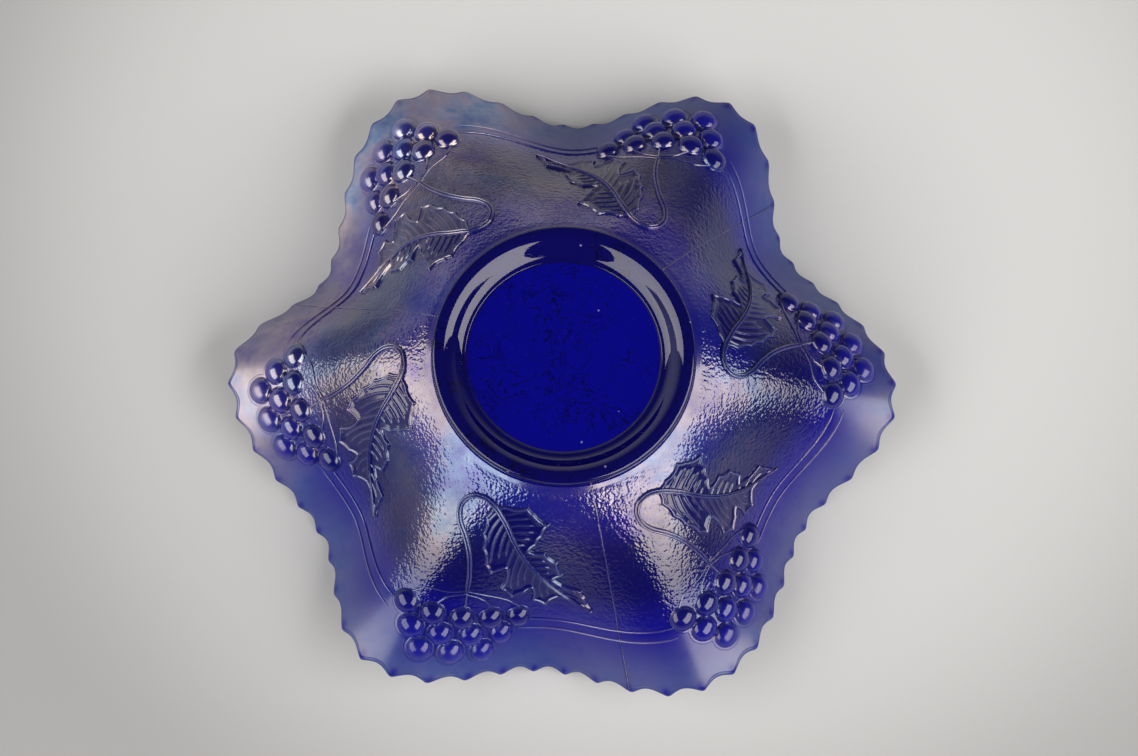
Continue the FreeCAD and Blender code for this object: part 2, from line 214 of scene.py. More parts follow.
def edge_centre(phi, rim_z, radius):
    """Distance out at which a bead of this radius just reaches the scalloped edge."""
    run = np.linalg.norm(outer(1.0, phi, rim_z) - outer(0.96, phi, rim_z), axis=-1) / 0.04
    return 1.0 + (TOOTH_OUT - tooth(phi) - radius) / run, run


def settled_rim():
    """Mean height of the rim that puts the lowest point of its rounded edge on z = 0."""
    rim_z = RUFFLE_RISE
    half = WALL_RIM / 2.0
    phi = np.arange(0.0, 360.0, 3.0)[:, None]
    t = np.linspace(0.0, np.pi, 7)[None, :]
    for _ in range(4):
        stop, run = edge_centre(phi, rim_z, half)
        u = stop + half * np.sin(t) / run
        p = outer(u, phi, rim_z) + normal(u, phi, rim_z) * (-half - half * np.cos(t))[..., None]
        rim_z -= p[..., 2].min()
    return rim_z


RIM_Z = settled_rim()


def skin(u, phi, off=0.0):
    """Point at a distance off the outer skin, outward positive."""
    return outer(u, phi, RIM_Z) + normal(u, phi, RIM_Z) * np.asarray(off)[..., None]


def glass(u):
    """Wall thickness, thinner towards the rim."""
    return WALL_FOOT + (WALL_RIM - WALL_FOOT) * u


def through(points, count):
    """Smooth path through listed points: uniform Catmull-Rom, sampled evenly by length."""
    p = np.array(points, float)
    ends = np.vstack([2 * p[0] - p[1], p, 2 * p[-1] - p[-2]])
    t = np.linspace(0.0, len(p) - 1.0, count * 6)
    i = np.minimum(t.astype(int), len(p) - 2)
    f = (t - i)[:, None]
    a, b, c, d = ends[i], ends[i + 1], ends[i + 2], ends[i + 3]
    q = b + 0.5 * f * (c - a + f * (2 * a - 5 * b + 4 * c - d + f * (3 * (b - c) + d - a)))
    flat = q * np.array([MM_PER_DEGREE, MM_PER_REACH])
    far = np.append(0.0, np.cumsum(np.linalg.norm(np.diff(flat, axis=0), axis=1)))
    even = np.linspace(0.0, far[-1], count)
    return np.stack([np.interp(even, far, q[:, 0]), np.interp(even, far, q[:, 1])], -1)


# ---------------------------------------------------------------- meshes

def volume(points, faces):
    """Signed volume of a closed mesh of quads."""
    p = points[faces]
    one = np.einsum("ij,ij->i", p[:, 0], np.cross(p[:, 1], p[:, 2]))
    two = np.einsum("ij,ij->i", p[:, 0], np.cross(p[:, 2], p[:, 3]))
    return (one.sum() + two.sum()) / 6.0


def grid_faces(rows, columns, close_rows=False, close_columns=False, start=0):
    """Quads between neighbouring points of a rows by columns grid."""
    r = np.arange(rows if close_rows else rows - 1)
    c = np.arange(columns if close_columns else columns - 1)
    r, c = np.meshgrid(r, c, indexing="ij")
    r2, c2 = (r + 1) % rows, (c + 1) % columns
    quads = np.stack([r * columns + c, r * columns + c2, r2 * columns + c2, r2 * columns + c], -1)
    return quads.reshape(-1, 4) + start


def add_piece(name, points, quads, caps, material, nodes, marks=None):
    """Make a smooth-shaded piece from millimetre points, turn it outward and tie it to its body."""
    if volume(points, quads) < 0:
        quads = quads[:, ::-1]
        caps = [cap[::-1] for cap in caps]
    mesh = bpy.data.meshes.new(name)
    mesh.from_pydata((points * MM).tolist(), [], quads.tolist() + [list(map(int, c)) for c in caps])
    mesh.polygons.foreach_set("use_smooth", np.ones(len(mesh.polygons), bool))
    for key, values in (marks or {}).items():
        layer = mesh.attributes.new(key, "FLOAT", "POINT")
        layer.data.foreach_set("value", np.asarray(values, np.float32))
    mesh.materials.append(material)
    mesh.update()
    piece = bpy.data.objects.new(name, mesh)
    bpy.context.collection.objects.link(piece)
    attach(piece, BODY)
    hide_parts(*nodes)
    return piece


def tube_along(path, section_y, section_h, width, lift):
    """Ridge on the skin: a section (sideways, upward) carried along a path, closed at both ends."""
    centre = skin(path[:, 1], path[:, 0])
    up = normal(path[:, 1], path[:, 0], RIM_Z)
    run = unit(np.gradient(centre, axis=0))
    side = unit(np.cross(run, up))
    y = np.asarray(section_y)[None, :, None] * width[:, None, None]
    h = np.asarray(section_h)[None, :, None] * np.minimum(width, 1.0)[:, None, None] + lift[:, None, None]
    points = centre[:, None] + side[:, None] * y + up[:, None] * h
    rows, columns = points.shape[:2]
    quads = grid_faces(rows, columns, close_columns=True)
    caps = [np.arange(columns)[::-1], np.arange(columns) + (rows - 1) * columns]
    return points.reshape(-1, 3), quads, caps


def joined(parts):
    """Several meshes as one: points stacked and face numbers moved along."""
    points, quads, caps, at = [], [], [], 0
    for p, q, c in parts:
        if volume(p, q) < 0:
            q = q[:, ::-1]
            c = [cap[::-1] for cap in c]
        points.append(p)
        quads.append(q + at)
        caps += [np.asarray(cap) + at for cap in c]
        at += len(p)
    return np.vstack(points), np.vstack(quads), caps


def plain_marks(points, reach, ridge=0.8):
    """Marks of a piece with no pebbles, at one distance out, with a ridge mark for its painted highlight.
    """
    whole = np.ones(len(points))
    return {"reach": reach * whole, "ground": 0.0 * whole, "ridge": ridge * whole}


def hashed(cell, salt):
    """Repeatable numbers from 0 to 1 for whole-number cells."""
    x, y, z = cell[..., 0], cell[..., 1], cell[..., 2]
    n = (x * 73856093) ^ (y * 19349663) ^ (z * 83492791) ^ (salt * 2654435761)
    n = n & 0xFFFFFFFF
    n = ((n ^ (n >> 15)) * 2246822519) & 0xFFFFFFFF
    n = ((n ^ (n >> 13)) * 3266489917) & 0xFFFFFFFF
    return (n ^ (n >> 16)) / 4294967295.0


def pebbles(points, size):
    """Pebbled ground: a round dome over each scattered point, one point to a cell of this size."""
    p = points / size
    cell = np.floor(p).astype(np.int64)
    near = np.full(p.shape[:-1], 9.0)
    for step in np.ndindex(3, 3, 3):
        c = cell + (np.array(step) - 1)
        spot = c + np.stack([0.15 + 0.7 * hashed(c, s) for s in (1, 2, 3)], -1)
        near = np.minimum(near, np.linalg.norm(p - spot, axis=-1))
    return np.clip(1.0 - near * near * 1.6, -0.4, 1.0)


def smooth_step(x, low, high):
    """0 below low, 1 above high and a smooth S between."""
    t = np.clip((x - low) / (high - low), 0.0, 1.0)
    return t * t * (3.0 - 2.0 * t)


# ---------------------------------------------------------------- materials

class Wire:
    """A socket that takes part in sums: each operator adds one Math node."""

    def __init__(self, bench, socket):
        self.bench = bench
        self.socket = socket

    def math(self, operation, a, b):
        return self.bench.add("ShaderNodeMath", {"operation": operation}, {0: a, 1: b})

    def __add__(self, other):
        return self.math("ADD", self, other)

    def __sub__(self, other):
        return self.math("SUBTRACT", self, other)

    def __mul__(self, other):
        return self.math("MULTIPLY", self, other)

    def __truediv__(self, other):
        return self.math("DIVIDE", self, other)

    def __rsub__(self, other):
        return self.math("SUBTRACT", other, self)

    __radd__ = __add__
    __rmul__ = __mul__


class Bench:
    """The node tree of a new material or world, and the one method that adds nodes to it."""

    def __init__(self, owner):
        self.owner = owner
        owner.use_nodes = True
        self.tree = owner.node_tree
        self.tree.nodes.clear()

    def add(self, kind, settings=None, inputs=None, out=0):
        """Node of a kind: settings first (a ramp's stops among them), then socket values or links."""
        node = self.tree.nodes.new(kind)
        for key, value in (settings or {}).items():
            if key == "stops":
                self.fill_ramp(node.color_ramp, value)
            else:
                setattr(node, key, value)
        for key, value in (inputs or {}).items():
            if isinstance(value, Wire):
                self.tree.links.new(value.socket, node.inputs[key])
            else:
                node.inputs[key].default_value = value
        return Wire(self, node.outputs[out])

    @staticmethod
    def fill_ramp(ramp, stops):
        """Set a colour ramp to (place, colour) stops."""
        while len(ramp.elements) > 1:
            ramp.elements.remove(ramp.elements[-1])
        ramp.elements[0].position = stops[0][0]
        ramp.elements[0].color = (*stops[0][1], 1.0)
        for place, colour in stops[1:]:
            ramp.elements.new(place).color = (*colour, 1.0)

    def place(self):
        """Object coordinates."""
        return self.add("ShaderNodeTexCoord", out="Object")

    def parts_of(self, vector):
        """The x, y and z of a vector."""
        node = self.add("ShaderNodeSeparateXYZ", None, {0: vector}).socket.node
        return [Wire(self, node.outputs[i]) for i in range(3)]

    def noise(self, scale, detail=2.0, rough=0.5, bend=0.0):
        """Value of a noise pattern, near 0.5 on average."""
        inputs = {"Vector": self.place(), "Scale": scale, "Detail": detail, "Roughness": rough,
                  "Distortion": bend}
        return self.add("ShaderNodeTexNoise", None, inputs)

    def mark(self, name):
        """A number stored on the piece's points."""
        return self.add("ShaderNodeAttribute", {"attribute_name": name}, out="Fac")

    def between(self, value, low, high):
        """Value mapped from low..high to 0..1, smoothly and held at the ends."""
        return self.add("ShaderNodeMapRange", {"interpolation_type": "SMOOTHSTEP"},
                        {"Value": value, "From Min": low, "From Max": high})

    def blend(self, factor, a, b):
        """Colour a turning into colour b."""
        wide = {6: a if isinstance(a, Wire) else (*a, 1.0), 7: b if isinstance(b, Wire) else (*b, 1.0)}
        return self.add("ShaderNodeMix", {"data_type": "RGBA"}, {0: factor, **wide}, out=2)

    def highest(self, a, b):
        """The larger of two values."""
        return self.add("ShaderNodeMath", {"operation": "MAXIMUM"}, {0: a, 1: b})

    def finish(self, shader, output="ShaderNodeOutputMaterial"):
        """Send a shader to the surface output and return the material or world."""
        node = self.tree.nodes.new(output)
        self.tree.links.new(shader.socket, node.inputs["Surface"])
        return self.owner


def film_colour(bench, inner):
    """Iridescent film: broad drifting patches of violet, teal, silver, rose and gold."""
    broad = bench.noise(22.0, 2.0, 0.5, 0.6)
    small = bench.noise(260.0, 3.0, 0.6)
    drift = broad + (small - 0.5) * 0.30 + 0.05 * inner
    stops = ((0.30, (0.30, 0.28, 0.64)), (0.42, (0.42, 0.62, 0.80)), (0.49, (0.74, 0.80, 0.90)),
             (0.55, (0.95, 0.83, 0.80)), (0.62, (0.92, 0.76, 0.56)), (0.72, (0.58, 0.42, 0.68)))
    return bench.add("ShaderNodeValToRGB", {"stops": stops}, {0: drift})


def film_strength(bench, inner, thin):
    """How much film shows: cloudy and heavier near the foot; painted sheen, heavy back left, thin in
    front.
    """
    x, y, _ = bench.parts_of(bench.place())
    # Painted sheen: more film on the back left side and less on the front.
    painted_sheen_side = bench.between((y * 0.60 - x * 0.80) / MM, 40.0, 118.0)
    cloud = bench.between(bench.noise(30.0, 4.0, 0.6, 0.3), 0.28, 0.72)
    # Painted highlight: the ridge mark adds film on raised lines.
    ridge = bench.mark("ridge")
    base = 0.04 + 0.22 * inner + 0.74 * painted_sheen_side * (1.0 - 0.5 * inner)
    return base * (0.35 + 0.95 * cloud) + 0.22 * ridge + 0.06 * thin


def iridised_glass(look, name, colour, film, ground):
    """Dark blue glass under a thin metallic film, pebbled where the ground mark says so."""
    bench = Bench(bpy.data.materials.new(name))
    reach = bench.mark("reach")
    thin = bench.between(reach, 0.72, 1.0)
    smooth = bench.between(reach, 0.70, 0.78)
    inner = 1.0 - bench.between(reach, 0.12, 0.55)
    # Painted shade: a belt part way out from the foot is painted darker, not where the glass is thickest.
    painted_shade_belt = bench.between(reach, 0.10, 0.35) * (1.0 - bench.between(reach, 0.50, 0.72))
    thick = tuple(0.42 * c for c in colour)
    blue = bench.blend(painted_shade_belt, tuple(colour), thick)
    # Painted highlight: raised lines, marked by ridge, are painted paler.
    blue = bench.blend(bench.mark("ridge") * 0.5, blue, tuple(look.ridge_highlight_colour))
    blue = bench.blend(thin, blue, tuple(look.thin_colour))
    fine = bench.add("ShaderNodeTexVoronoi", {"feature": "SMOOTH_F1"},
                     {"Vector": bench.place(), "Scale": 1.0 / (look.pebble_pitch * 0.62 * MM),
                      "Smoothness": 0.35})
    grain = bench.noise(1500.0, 2.0, 0.6)
    pitted = bench.mark("ground") * ground
    height = (1.0 - fine) * pitted + grain * (0.03 + 0.25 * pitted)
    bump = bench.add("ShaderNodeBump", None, {"Strength": 0.34, "Distance": 0.00028, "Height": height})
    worn = bench.noise(60.0, 4.0, 0.6)
    body = bench.add("ShaderNodeBsdfPrincipled", None, {
        "Base Color": blue, "Roughness": 0.06 + 0.05 * worn + 0.14 * smooth, "IOR": 1.45,
        "Transmission Weight": look.clearness, "Normal": bump})
    metal = bench.add("ShaderNodeBsdfPrincipled", None, {
        "Base Color": film_colour(bench, inner), "Roughness": 0.12 + 0.12 * worn + 0.26 * smooth,
        "Metallic": 1.0, "Normal": bump})
    factor = film * film_strength(bench, inner, thin)
    return bench.finish(bench.add("ShaderNodeMixShader", None, {0: factor, 1: body, 2: metal}))


def bare_glass(look, name, colour):
    """Cobalt glass without film: clean and glossy, with faint scratches and dust from standing."""
    bench = Bench(bpy.data.materials.new(name))
    wear = bench.noise(900.0, 2.0, 0.7)
    dust = bench.between(wear, 0.66, 0.74)
    drift = bench.noise(150.0, 3.0, 0.6, 1.2)
    line = 1.0 - bench.between(bench.highest(drift - 0.5, 0.5 - drift), 0.0, 0.030)
    cell = bench.add("ShaderNodeTexVoronoi", None, {"Vector": bench.place(), "Scale": 105.0})
    speck = 1.0 - bench.between(cell, 0.025, 0.05)
    streak = bench.add("ShaderNodeTexNoise", None, {
        "Vector": bench.add("ShaderNodeMapping", None, {
            "Vector": bench.place(), "Rotation": (0.0, 0.0, 0.7), "Scale": (1.0, 9.0, 1.0)}),
        "Scale": 240.0, "Detail": 3.0})
    scratch = bench.between(streak, 0.67, 0.72)
    deep = tuple(0.25 * c for c in colour)
    blue = bench.blend(line * bench.between(bench.noise(60.0), 0.40, 0.60), tuple(colour), deep)
    blue = bench.blend(dust * 0.25, blue, (0.03, 0.03, 0.30))
    blue = bench.blend(speck * 0.8, blue, (0.30, 0.30, 0.55))
    swell = bench.noise(45.0, 2.0, 0.5)
    bump = bench.add("ShaderNodeBump", None, {
        "Strength": 0.25, "Distance": 0.0004, "Height": swell + scratch * 0.04})
    body = bench.add("ShaderNodeBsdfPrincipled", None, {
        "Base Color": blue, "Roughness": 0.04 + 0.10 * scratch, "IOR": 1.5,
        "Transmission Weight": look.clearness, "Normal": bump})
    return bench.finish(body)


def ready_material(kind):
    """The named material, made the first time it is asked for."""
    look = bpy.context.scene.bowl_look
    made = bpy.data.materials.get(kind)
    if made:
        return made
    if kind == "bare_base":
        return bare_glass(look, kind, look.bare_colour)
    if kind == "bare_foot":
        return bare_glass(look, kind, look.foot_colour_and_shade)
    film, ground = {"filmed_wall": (look.film, 1.0), "filmed_relief": (look.film, 0.0),
                    "filmed_grape": (look.film * 0.8, 0.0), "filmed_edge": (look.film * 0.5, 0.0)}[kind]
    colour = look.grape_colour if kind == "filmed_grape" else look.glass_colour
    return iridised_glass(look, kind, colour, film, ground)


# ---------------------------------------------------------------- properties

class BowlLook(bpy.types.PropertyGroup):
    """Colours and finish of the glass, with painted highlight on raised lines and painted shade in the
    foot.
    """
    glass_colour: FloatVectorProperty(
        name="Glass", description="Colour of the thick blue glass", subtype="COLOR", size=3,
        default=(0.004, 0.003, 0.24), min=0.0, max=1.0)
    # Painted highlight: this paler colour stands in for light caught on the raised lines.
    ridge_highlight_colour: FloatVectorProperty(
        name="Raised lines", description="Colour of outlines, veins and stems", subtype="COLOR", size=3,
        default=(0.05, 0.06, 0.34), min=0.0, max=1.0)
    grape_colour: FloatVectorProperty(
        name="Grape glass", description="Colour of the grapes", subtype="COLOR", size=3,
        default=(0.008, 0.008, 0.27), min=0.0, max=1.0)
    thin_colour: FloatVectorProperty(
        name="Thin glass", description="Colour of the glass near the rim", subtype="COLOR", size=3,
        default=(0.030, 0.050, 0.25), min=0.0, max=1.0)
    bare_colour: FloatVectorProperty(
        name="Base glass", description="Colour of the base, which has no film",
        subtype="COLOR", size=3, default=(0.001, 0.0006, 0.26), min=0.0, max=1.0)
    # Partly thick glass and partly painted shade: the foot is painted near black for light turned back
    # inside the ring.
    foot_colour_and_shade: FloatVectorProperty(
        name="Foot glass", description="Colour of the foot ring, where the glass is thickest",
        subtype="COLOR", size=3, default=(0.002, 0.0012, 0.10), min=0.0, max=1.0)
    clearness: FloatProperty(
        name="Clearness", description="How much light passes through the glass", default=0.25,
        min=0.0, max=1.0, subtype="FACTOR")
    film: FloatProperty(
        name="Film", description="Strength of the iridescent film", default=0.55, min=0.0, max=1.0,
        subtype="FACTOR")
    pebble_pitch: FloatProperty(
        name="Pebble pitch", description="Millimetres between the pebbles of the ground",
        default=1.4, min=0.5, max=5.0)
    pebble_height: FloatProperty(
        name="Pebble height", description="Millimetres that the pebbles stand proud",
        default=0.10, min=0.0, max=0.5)


class BowlRelief(bpy.types.PropertyGroup):
    """Sizes of the relief, in millimetres."""
    grape_radius: FloatProperty(name="Grape radius", description="Radius of a grape in millimetres",
                                default=4.3, min=1.0, max=8.0)
    grape_height: FloatProperty(name="Grape height", default=3.0, min=0.5, max=5.0,
                                description="How far a grape stands off the wall, millimetres")
    leaf_height: FloatProperty(name="Leaf height", description="Height of the blade, millimetres",
                               default=0.6, min=0.1, max=2.0)
    vein_height: FloatProperty(name="Vein height", default=0.42, min=0.0, max=1.0,
                               description="Height of a vein above the blade, millimetres")
    stem_width: FloatProperty(name="Stem width", description="Width of the double stem, millimetres",
                              default=1.9, min=0.5, max=5.0)
    band_height: FloatProperty(name="Line height", default=0.42, min=0.1, max=1.0,
                               description="Height of the twin lines, millimetres")
    columns: IntProperty(name="Columns", description="Grid columns in each third of the wall",
                         default=361, min=61, max=800)


class StudioSetup(bpy.types.PropertyGroup):
    """Floor, light and camera."""
    floor_colour: FloatVectorProperty(name="Floor", description="Colour of the floor", size=3,
                                      subtype="COLOR", default=(0.665, 0.675, 0.690), min=0.0, max=1.0)
    left_power: FloatProperty(name="Left window", default=29.0, min=0.0, max=200.0, unit="POWER",
                              description="Power of the left light")
    right_power: FloatProperty(name="Right window", default=37.0, min=0.0, max=200.0, unit="POWER",
                               description="Power of the right light")
    room_dark: FloatProperty(name="Room, dark side", default=0.06, min=0.0, max=2.0,
                             description="Light of the room overhead and in front")
    room_pale: FloatProperty(name="Room, pale side", default=0.80, min=0.0, max=2.0,
                             description="Light of the room behind and along the horizon")
    camera_elevation: FloatProperty(name="Camera elevation", default=math.radians(78.3),
                                    subtype="ANGLE", description="Camera height above the horizon")
    camera_distance: FloatProperty(name="Camera distance", default=0.80, min=0.2, max=5.0,
                                   unit="LENGTH", description="Camera distance from the bowl")


# ---------------------------------------------------------------- shapes

def wall_third(k):
    """One third of the wall. Outer skin out to the rim, inner skin back, plus pebbles on the ground.

    The section loop runs outer u = 0 to stop, a short turn at the rim, then inner stop to 0.
    """
    look = bpy.context.scene.bowl_look
    relief = bpy.context.scene.bowl_relief
    start = SEAM_AT + THIRD_TURN * k
    phi = np.linspace(start, start + THIRD_TURN, relief.columns)[None, :]
    stop, run = edge_centre(phi, RIM_Z, 0.0)
    stop = stop - EDGE_MARGIN / run
    t_out = np.linspace(0.0, 1.0, ROWS_OUTSIDE)[:, None]
    t_in = np.linspace(1.0, 0.0, ROWS_INSIDE)[:, None]
    u_out, u_in = t_out * stop, t_in * stop
    base = skin(u_out, phi)
    ground = smooth_step(u_out, 0.02, 0.05) * (1.0 - smooth_step(u_out, BAND_AT[0] - 0.03, BAND_AT[0]))
    lift = pebbles(base, look.pebble_pitch) * ground * look.pebble_height
    shell_out = skin(u_out, phi, lift)
    shell_in = skin(u_in, phi, -glass(u_in))
    points = np.concatenate([shell_out, shell_in], 0)
    rows, columns = points.shape[:2]
    quads = grid_faces(rows, columns, close_rows=True)
    caps = [np.arange(rows) * columns, (np.arange(rows) * columns + columns - 1)[::-1]]
    reach = np.concatenate([u_out, u_in], 0)
    reach = reach - 0.26 * tip_of(phi) * smooth_step(reach, 0.955, 0.995)
    mark = np.concatenate([ground, np.zeros_like(u_in)], 0)
    marks = {"reach": reach.ravel(), "ground": mark.ravel(), "ridge": 0.0 * mark.ravel()}
    return points.reshape(-1, 3), quads, caps, marks


def rim_bead():
    """Rounded bead along the scalloped edge: a flattened circle carried round all the teeth."""
    phi = np.linspace(0.0, 360.0, TEETH * STEPS_PER_TOOTH, endpoint=False)[:, None]
    t = np.linspace(0.0, 2.0 * np.pi, BEAD_STEPS, endpoint=False)[None, :]
    tip = tip_of(phi)
    half = WALL_RIM / 2.0
    wide = half * (0.80 + 0.55 * tip)
    stop, run = edge_centre(phi, RIM_Z, wide)
    points = skin(stop + wide * np.cos(t) / run, phi, -half + half * np.sin(t))
    rows, columns = points.shape[:2]
    quads = grid_faces(rows, columns, close_rows=True, close_columns=True)
    tips = np.broadcast_to(tip, (rows, columns)).ravel()
    marks = {"reach": 1.0 - 0.28 * tips, "ground": 0.0 * tips, "ridge": 0.0 * tips}
    return points.reshape(-1, 3), quads, [], marks


def lathe(radii, heights, steps, loop=True):
    """Surface of revolution: (radius, height) points, a closed loop or not, carried round the axis."""
    a = np.linspace(0.0, 2.0 * np.pi, steps, endpoint=False)[:, None]
    r, z = np.asarray(radii)[None, :], np.asarray(heights)[None, :]
    points = np.stack([r * np.cos(a), r * np.sin(a), z + 0.0 * a], -1)
    rows, columns = points.shape[:2]
    return points.reshape(-1, 3), grid_faces(rows, columns, close_rows=True, close_columns=loop), []


def foot_ring():
    """Collar foot: worn flat land, rounded shoulders and an S-curved slope inside.

    Its section is a loop of radii and of heights over the foot's underside, drawn 5 mm tall.
    """
    r = (30.4, 31.2, 32.2, 33.2, 34.2, 35.2, 36.2, 37.0, 37.7, 38.3, 38.9, 39.6, 40.2, 40.7, 41.1,
         41.35, 41.45, 41.48, 41.48, 41.48)
    up = (0.02, 0.14, 0.50, 1.15, 2.05, 3.00, 3.85, 4.42, 4.78, 4.95, 5.0, 5.0, 4.97, 4.82, 4.52,
          4.08, 3.5, 2.4, 1.2, 0.0)
    inside = (36.0, 33.0)
    radii = np.array(r + inside)
    heights = FOOT_LOW + np.array(up + (-0.3, -0.3)) * (HEIGHT - FOOT_LOW) / 5.0
    return lathe(radii, heights, FOOT_STEPS)


def base_disc():
    """Flat disc under the foot: its upper face outward, its lower face back, closed at both poles."""
    edge = np.linalg.norm(skin(0.0, 0.0, -glass(0.0))[:2])
    radii = np.concatenate([np.linspace(POLE, FOOT_OUT - 0.02, DISC_TOP_RINGS),
                            np.linspace(edge, POLE, DISC_LOW_RINGS)])
    heights = np.repeat([FOOT_LOW, DISC_LOW], [DISC_TOP_RINGS, DISC_LOW_RINGS])
    points, quads, _ = lathe(radii, heights, DISC_STEPS, loop=False)
    columns = len(radii)
    first = np.arange(DISC_STEPS) * columns
    return points, quads, [first, (first + columns - 1)[::-1]]


def grape_cluster(k):
    """Twelve grapes: soft domes of height * sqrt(1 - (r / radius)^2), with a fillet at each foot.

    r is the distance from a grape's middle along the skin.  The highest dome wins, and the
    lower face lies just inside the wall.
    """
    relief = bpy.context.scene.bowl_relief
    at = MOTIF_AT + SECTOR_TURN * k
    draw = np.random.default_rng(40 + k)
    outs, turns = np.linspace(0.60, 0.945, 190), at + np.linspace(-15.5, 17.5, 250)
    u, phi = np.meshgrid(outs, turns, indexing="ij")
    ground = skin(u, phi)
    height = np.full(u.shape, -EDGE_DIP)
    ridge = np.zeros(u.shape)
    near = np.full(u.shape, 99.0)
    for row, first, step, count in GRAPE_ROWS:
        for i in range(count):
            turn = at + first + step * i
            radius = relief.grape_radius * (0.97 + 0.05 * draw.random())
            away = ground - skin(row, turn)
            up = normal(row, turn, RIM_Z)
            r = np.linalg.norm(away - (away @ up)[..., None] * up, axis=-1)
            dome = relief.grape_height * np.sqrt(np.clip(1.0 - (r / radius) ** 2, 0.0, 1.0))
            fillet = 0.55 * np.exp(-np.clip(r - radius, 0.0, None) / 0.35) - 0.36
            height = np.maximum(height, np.maximum(dome, fillet))
            # Painted reflection: the ridge mark paints a pale ring round each grape's foot.
            ridge = np.maximum(ridge, np.exp(-((r - radius - 0.05) / 0.42) ** 2))
            near = np.minimum(near, r - radius)
    return closed_sheet(u, phi, height, near < CLUSTER_MARGIN, ridge, u - 0.10)


def flat_of(places):
    """Plan of motif points in millimetres, opened out flat about the leaf's middle."""
    p = np.asarray(places, float)
    u = p[..., 1]
    r, _ = profile(u, RIM_Z)
    return np.stack([np.radians(p[..., 0] - LEAF_MIDDLE) * r, MM_PER_REACH * u], -1)


def bowed(outline, bow):
    """Closed outline with each side bent in by this share of its length, on a half sine."""
    a, b = outline, np.roll(outline, -1, axis=0)
    t = np.linspace(0.0, 1.0, 7)[:-1][None, :, None]
    inward = np.stack([a[:, 1] - b[:, 1], b[:, 0] - a[:, 0]], -1)[:, None]
    turned = np.sum(a[:, 0] * b[:, 1] - b[:, 0] * a[:, 1])
    points = a[:, None] + (b - a)[:, None] * t + np.sign(turned) * bow * inward * np.sin(np.pi * t)
    return points.reshape(-1, 2)


def distance_to_lines(points, chain):
    """Distance from each point to a chain of straight pieces."""
    near = np.full(len(points), 1e9)
    for a, b in zip(chain[:-1], chain[1:]):
        d = b - a
        t = np.clip(((points - a) @ d) / (d @ d), 0.0, 1.0)
        near = np.minimum(near, np.linalg.norm(points - a - t[:, None] * d, axis=1))
    return near


def inside_outline(points, outline):
    """Even-odd test of points against a closed outline."""
    count = np.zeros(len(points), int)
    for a, b in zip(outline, np.roll(outline, -1, axis=0)):
        crosses = (a[1] > points[:, 1]) != (b[1] > points[:, 1])
        x = a[0] + (points[:, 1] - a[1]) * (b[0] - a[0]) / (b[1] - a[1] + 1e-12)
        count += crosses & (points[:, 0] < x)
    return count % 2 == 1


def leaf(k):
    """Vine leaf: height over the skin from the distance to its outline, midrib and veins.

    The blade rises in a short S at the outline, has a raised edge line and a dished middle, and
    each vein is a round ridge that fades to its tip.  The lower face lies just inside the wall.
    """
    relief = bpy.context.scene.bowl_relief
    at = MOTIF_AT + SECTOR_TURN * k
    turns = np.linspace(-4.5, 33.0, 250)
    outs = np.linspace(0.09, 0.655, 210)
    grid = np.stack(np.meshgrid(outs, turns, indexing="ij")[::-1], -1)
    flat = flat_of(grid).reshape(-1, 2)
    outline = bowed(flat_of(LEAF_EDGE), 0.10)
    near = distance_to_lines(flat, np.vstack([outline, outline[:1]]))
    d = np.where(inside_outline(flat, outline), near, -near)
    blade = relief.leaf_height
    height = -EDGE_DIP + (blade + EDGE_DIP) * smooth_step(d, -0.45, 0.40)
    height += 0.34 * np.exp(-((d - 0.50) / 0.28) ** 2)
    rib = distance_to_lines(flat, flat_of(through(MIDRIB, 60)))
    height -= 0.22 * smooth_step(d, 0.8, 2.5) * smooth_step(rib, 0.5, 2.5)
    # Painted highlight: the ridge mark paints the leaf's edge line paler.
    ridge = np.exp(-((d - 0.50) / 0.34) ** 2)
    for vein in VEINS:
        line = flat_of(through(vein, 12))
        far = distance_to_lines(flat, line)
        tip = np.linalg.norm(flat - line[-1], axis=1)
        fade = smooth_step(tip, 0.0, 5.0) * smooth_step(d, 0.3, 1.4)
        line_up = np.exp(-(far / 0.28) ** 2)
        height = np.maximum(height, (blade - 0.15 + relief.vein_height * line_up) * fade * (far < 1.2))
        # Painted highlight on each vein, through the ridge mark.
        ridge = np.maximum(ridge, 0.6 * line_up * fade)
    shape = grid.shape[:2]
    return closed_sheet(grid[..., 1], grid[..., 0] + at, height.reshape(shape),
                        (d > -0.75).reshape(shape), ridge.reshape(shape), np.full(shape, 0.5))


def closed_sheet(u, phi, height, keep, ridge, reach):
    """Closed slab over the kept part of a grid: its upper face at a height, its lower face sunk.

    The same quads stand above and below, with a wall round their rim.
    """
    top = skin(u, phi, height).reshape(-1, 3)
    bottom = skin(u, phi, np.full(u.shape, -UNDER_SKIN)).reshape(-1, 3)
    rows, columns = u.shape
    whole = keep[:-1, :-1] & keep[1:, :-1] & keep[:-1, 1:] & keep[1:, 1:]
    quads = grid_faces(rows, columns).reshape(rows - 1, columns - 1, 4)[whole]
    n = len(top)
    edges = np.concatenate([quads[:, [i, (i + 1) % 4]] for i in range(4)])
    key = edges[:, 0].astype(np.int64) * n + edges[:, 1]
    back = edges[:, 1].astype(np.int64) * n + edges[:, 0]
    rim = edges[~np.isin(key, back)]
    sides = np.stack([rim[:, 1], rim[:, 0], rim[:, 0] + n, rim[:, 1] + n], -1)
    faces = np.concatenate([quads, quads[:, ::-1] + n, sides])
    used, faces = np.unique(faces, return_inverse=True)
    ridge = np.append(ridge, 0.0 * ridge)[used]
    marks = {"reach": np.append(reach, reach)[used], "ground": 0.0 * ridge, "ridge": ridge}
    return np.vstack([top, bottom])[used], faces.reshape(-1, 4), [], marks


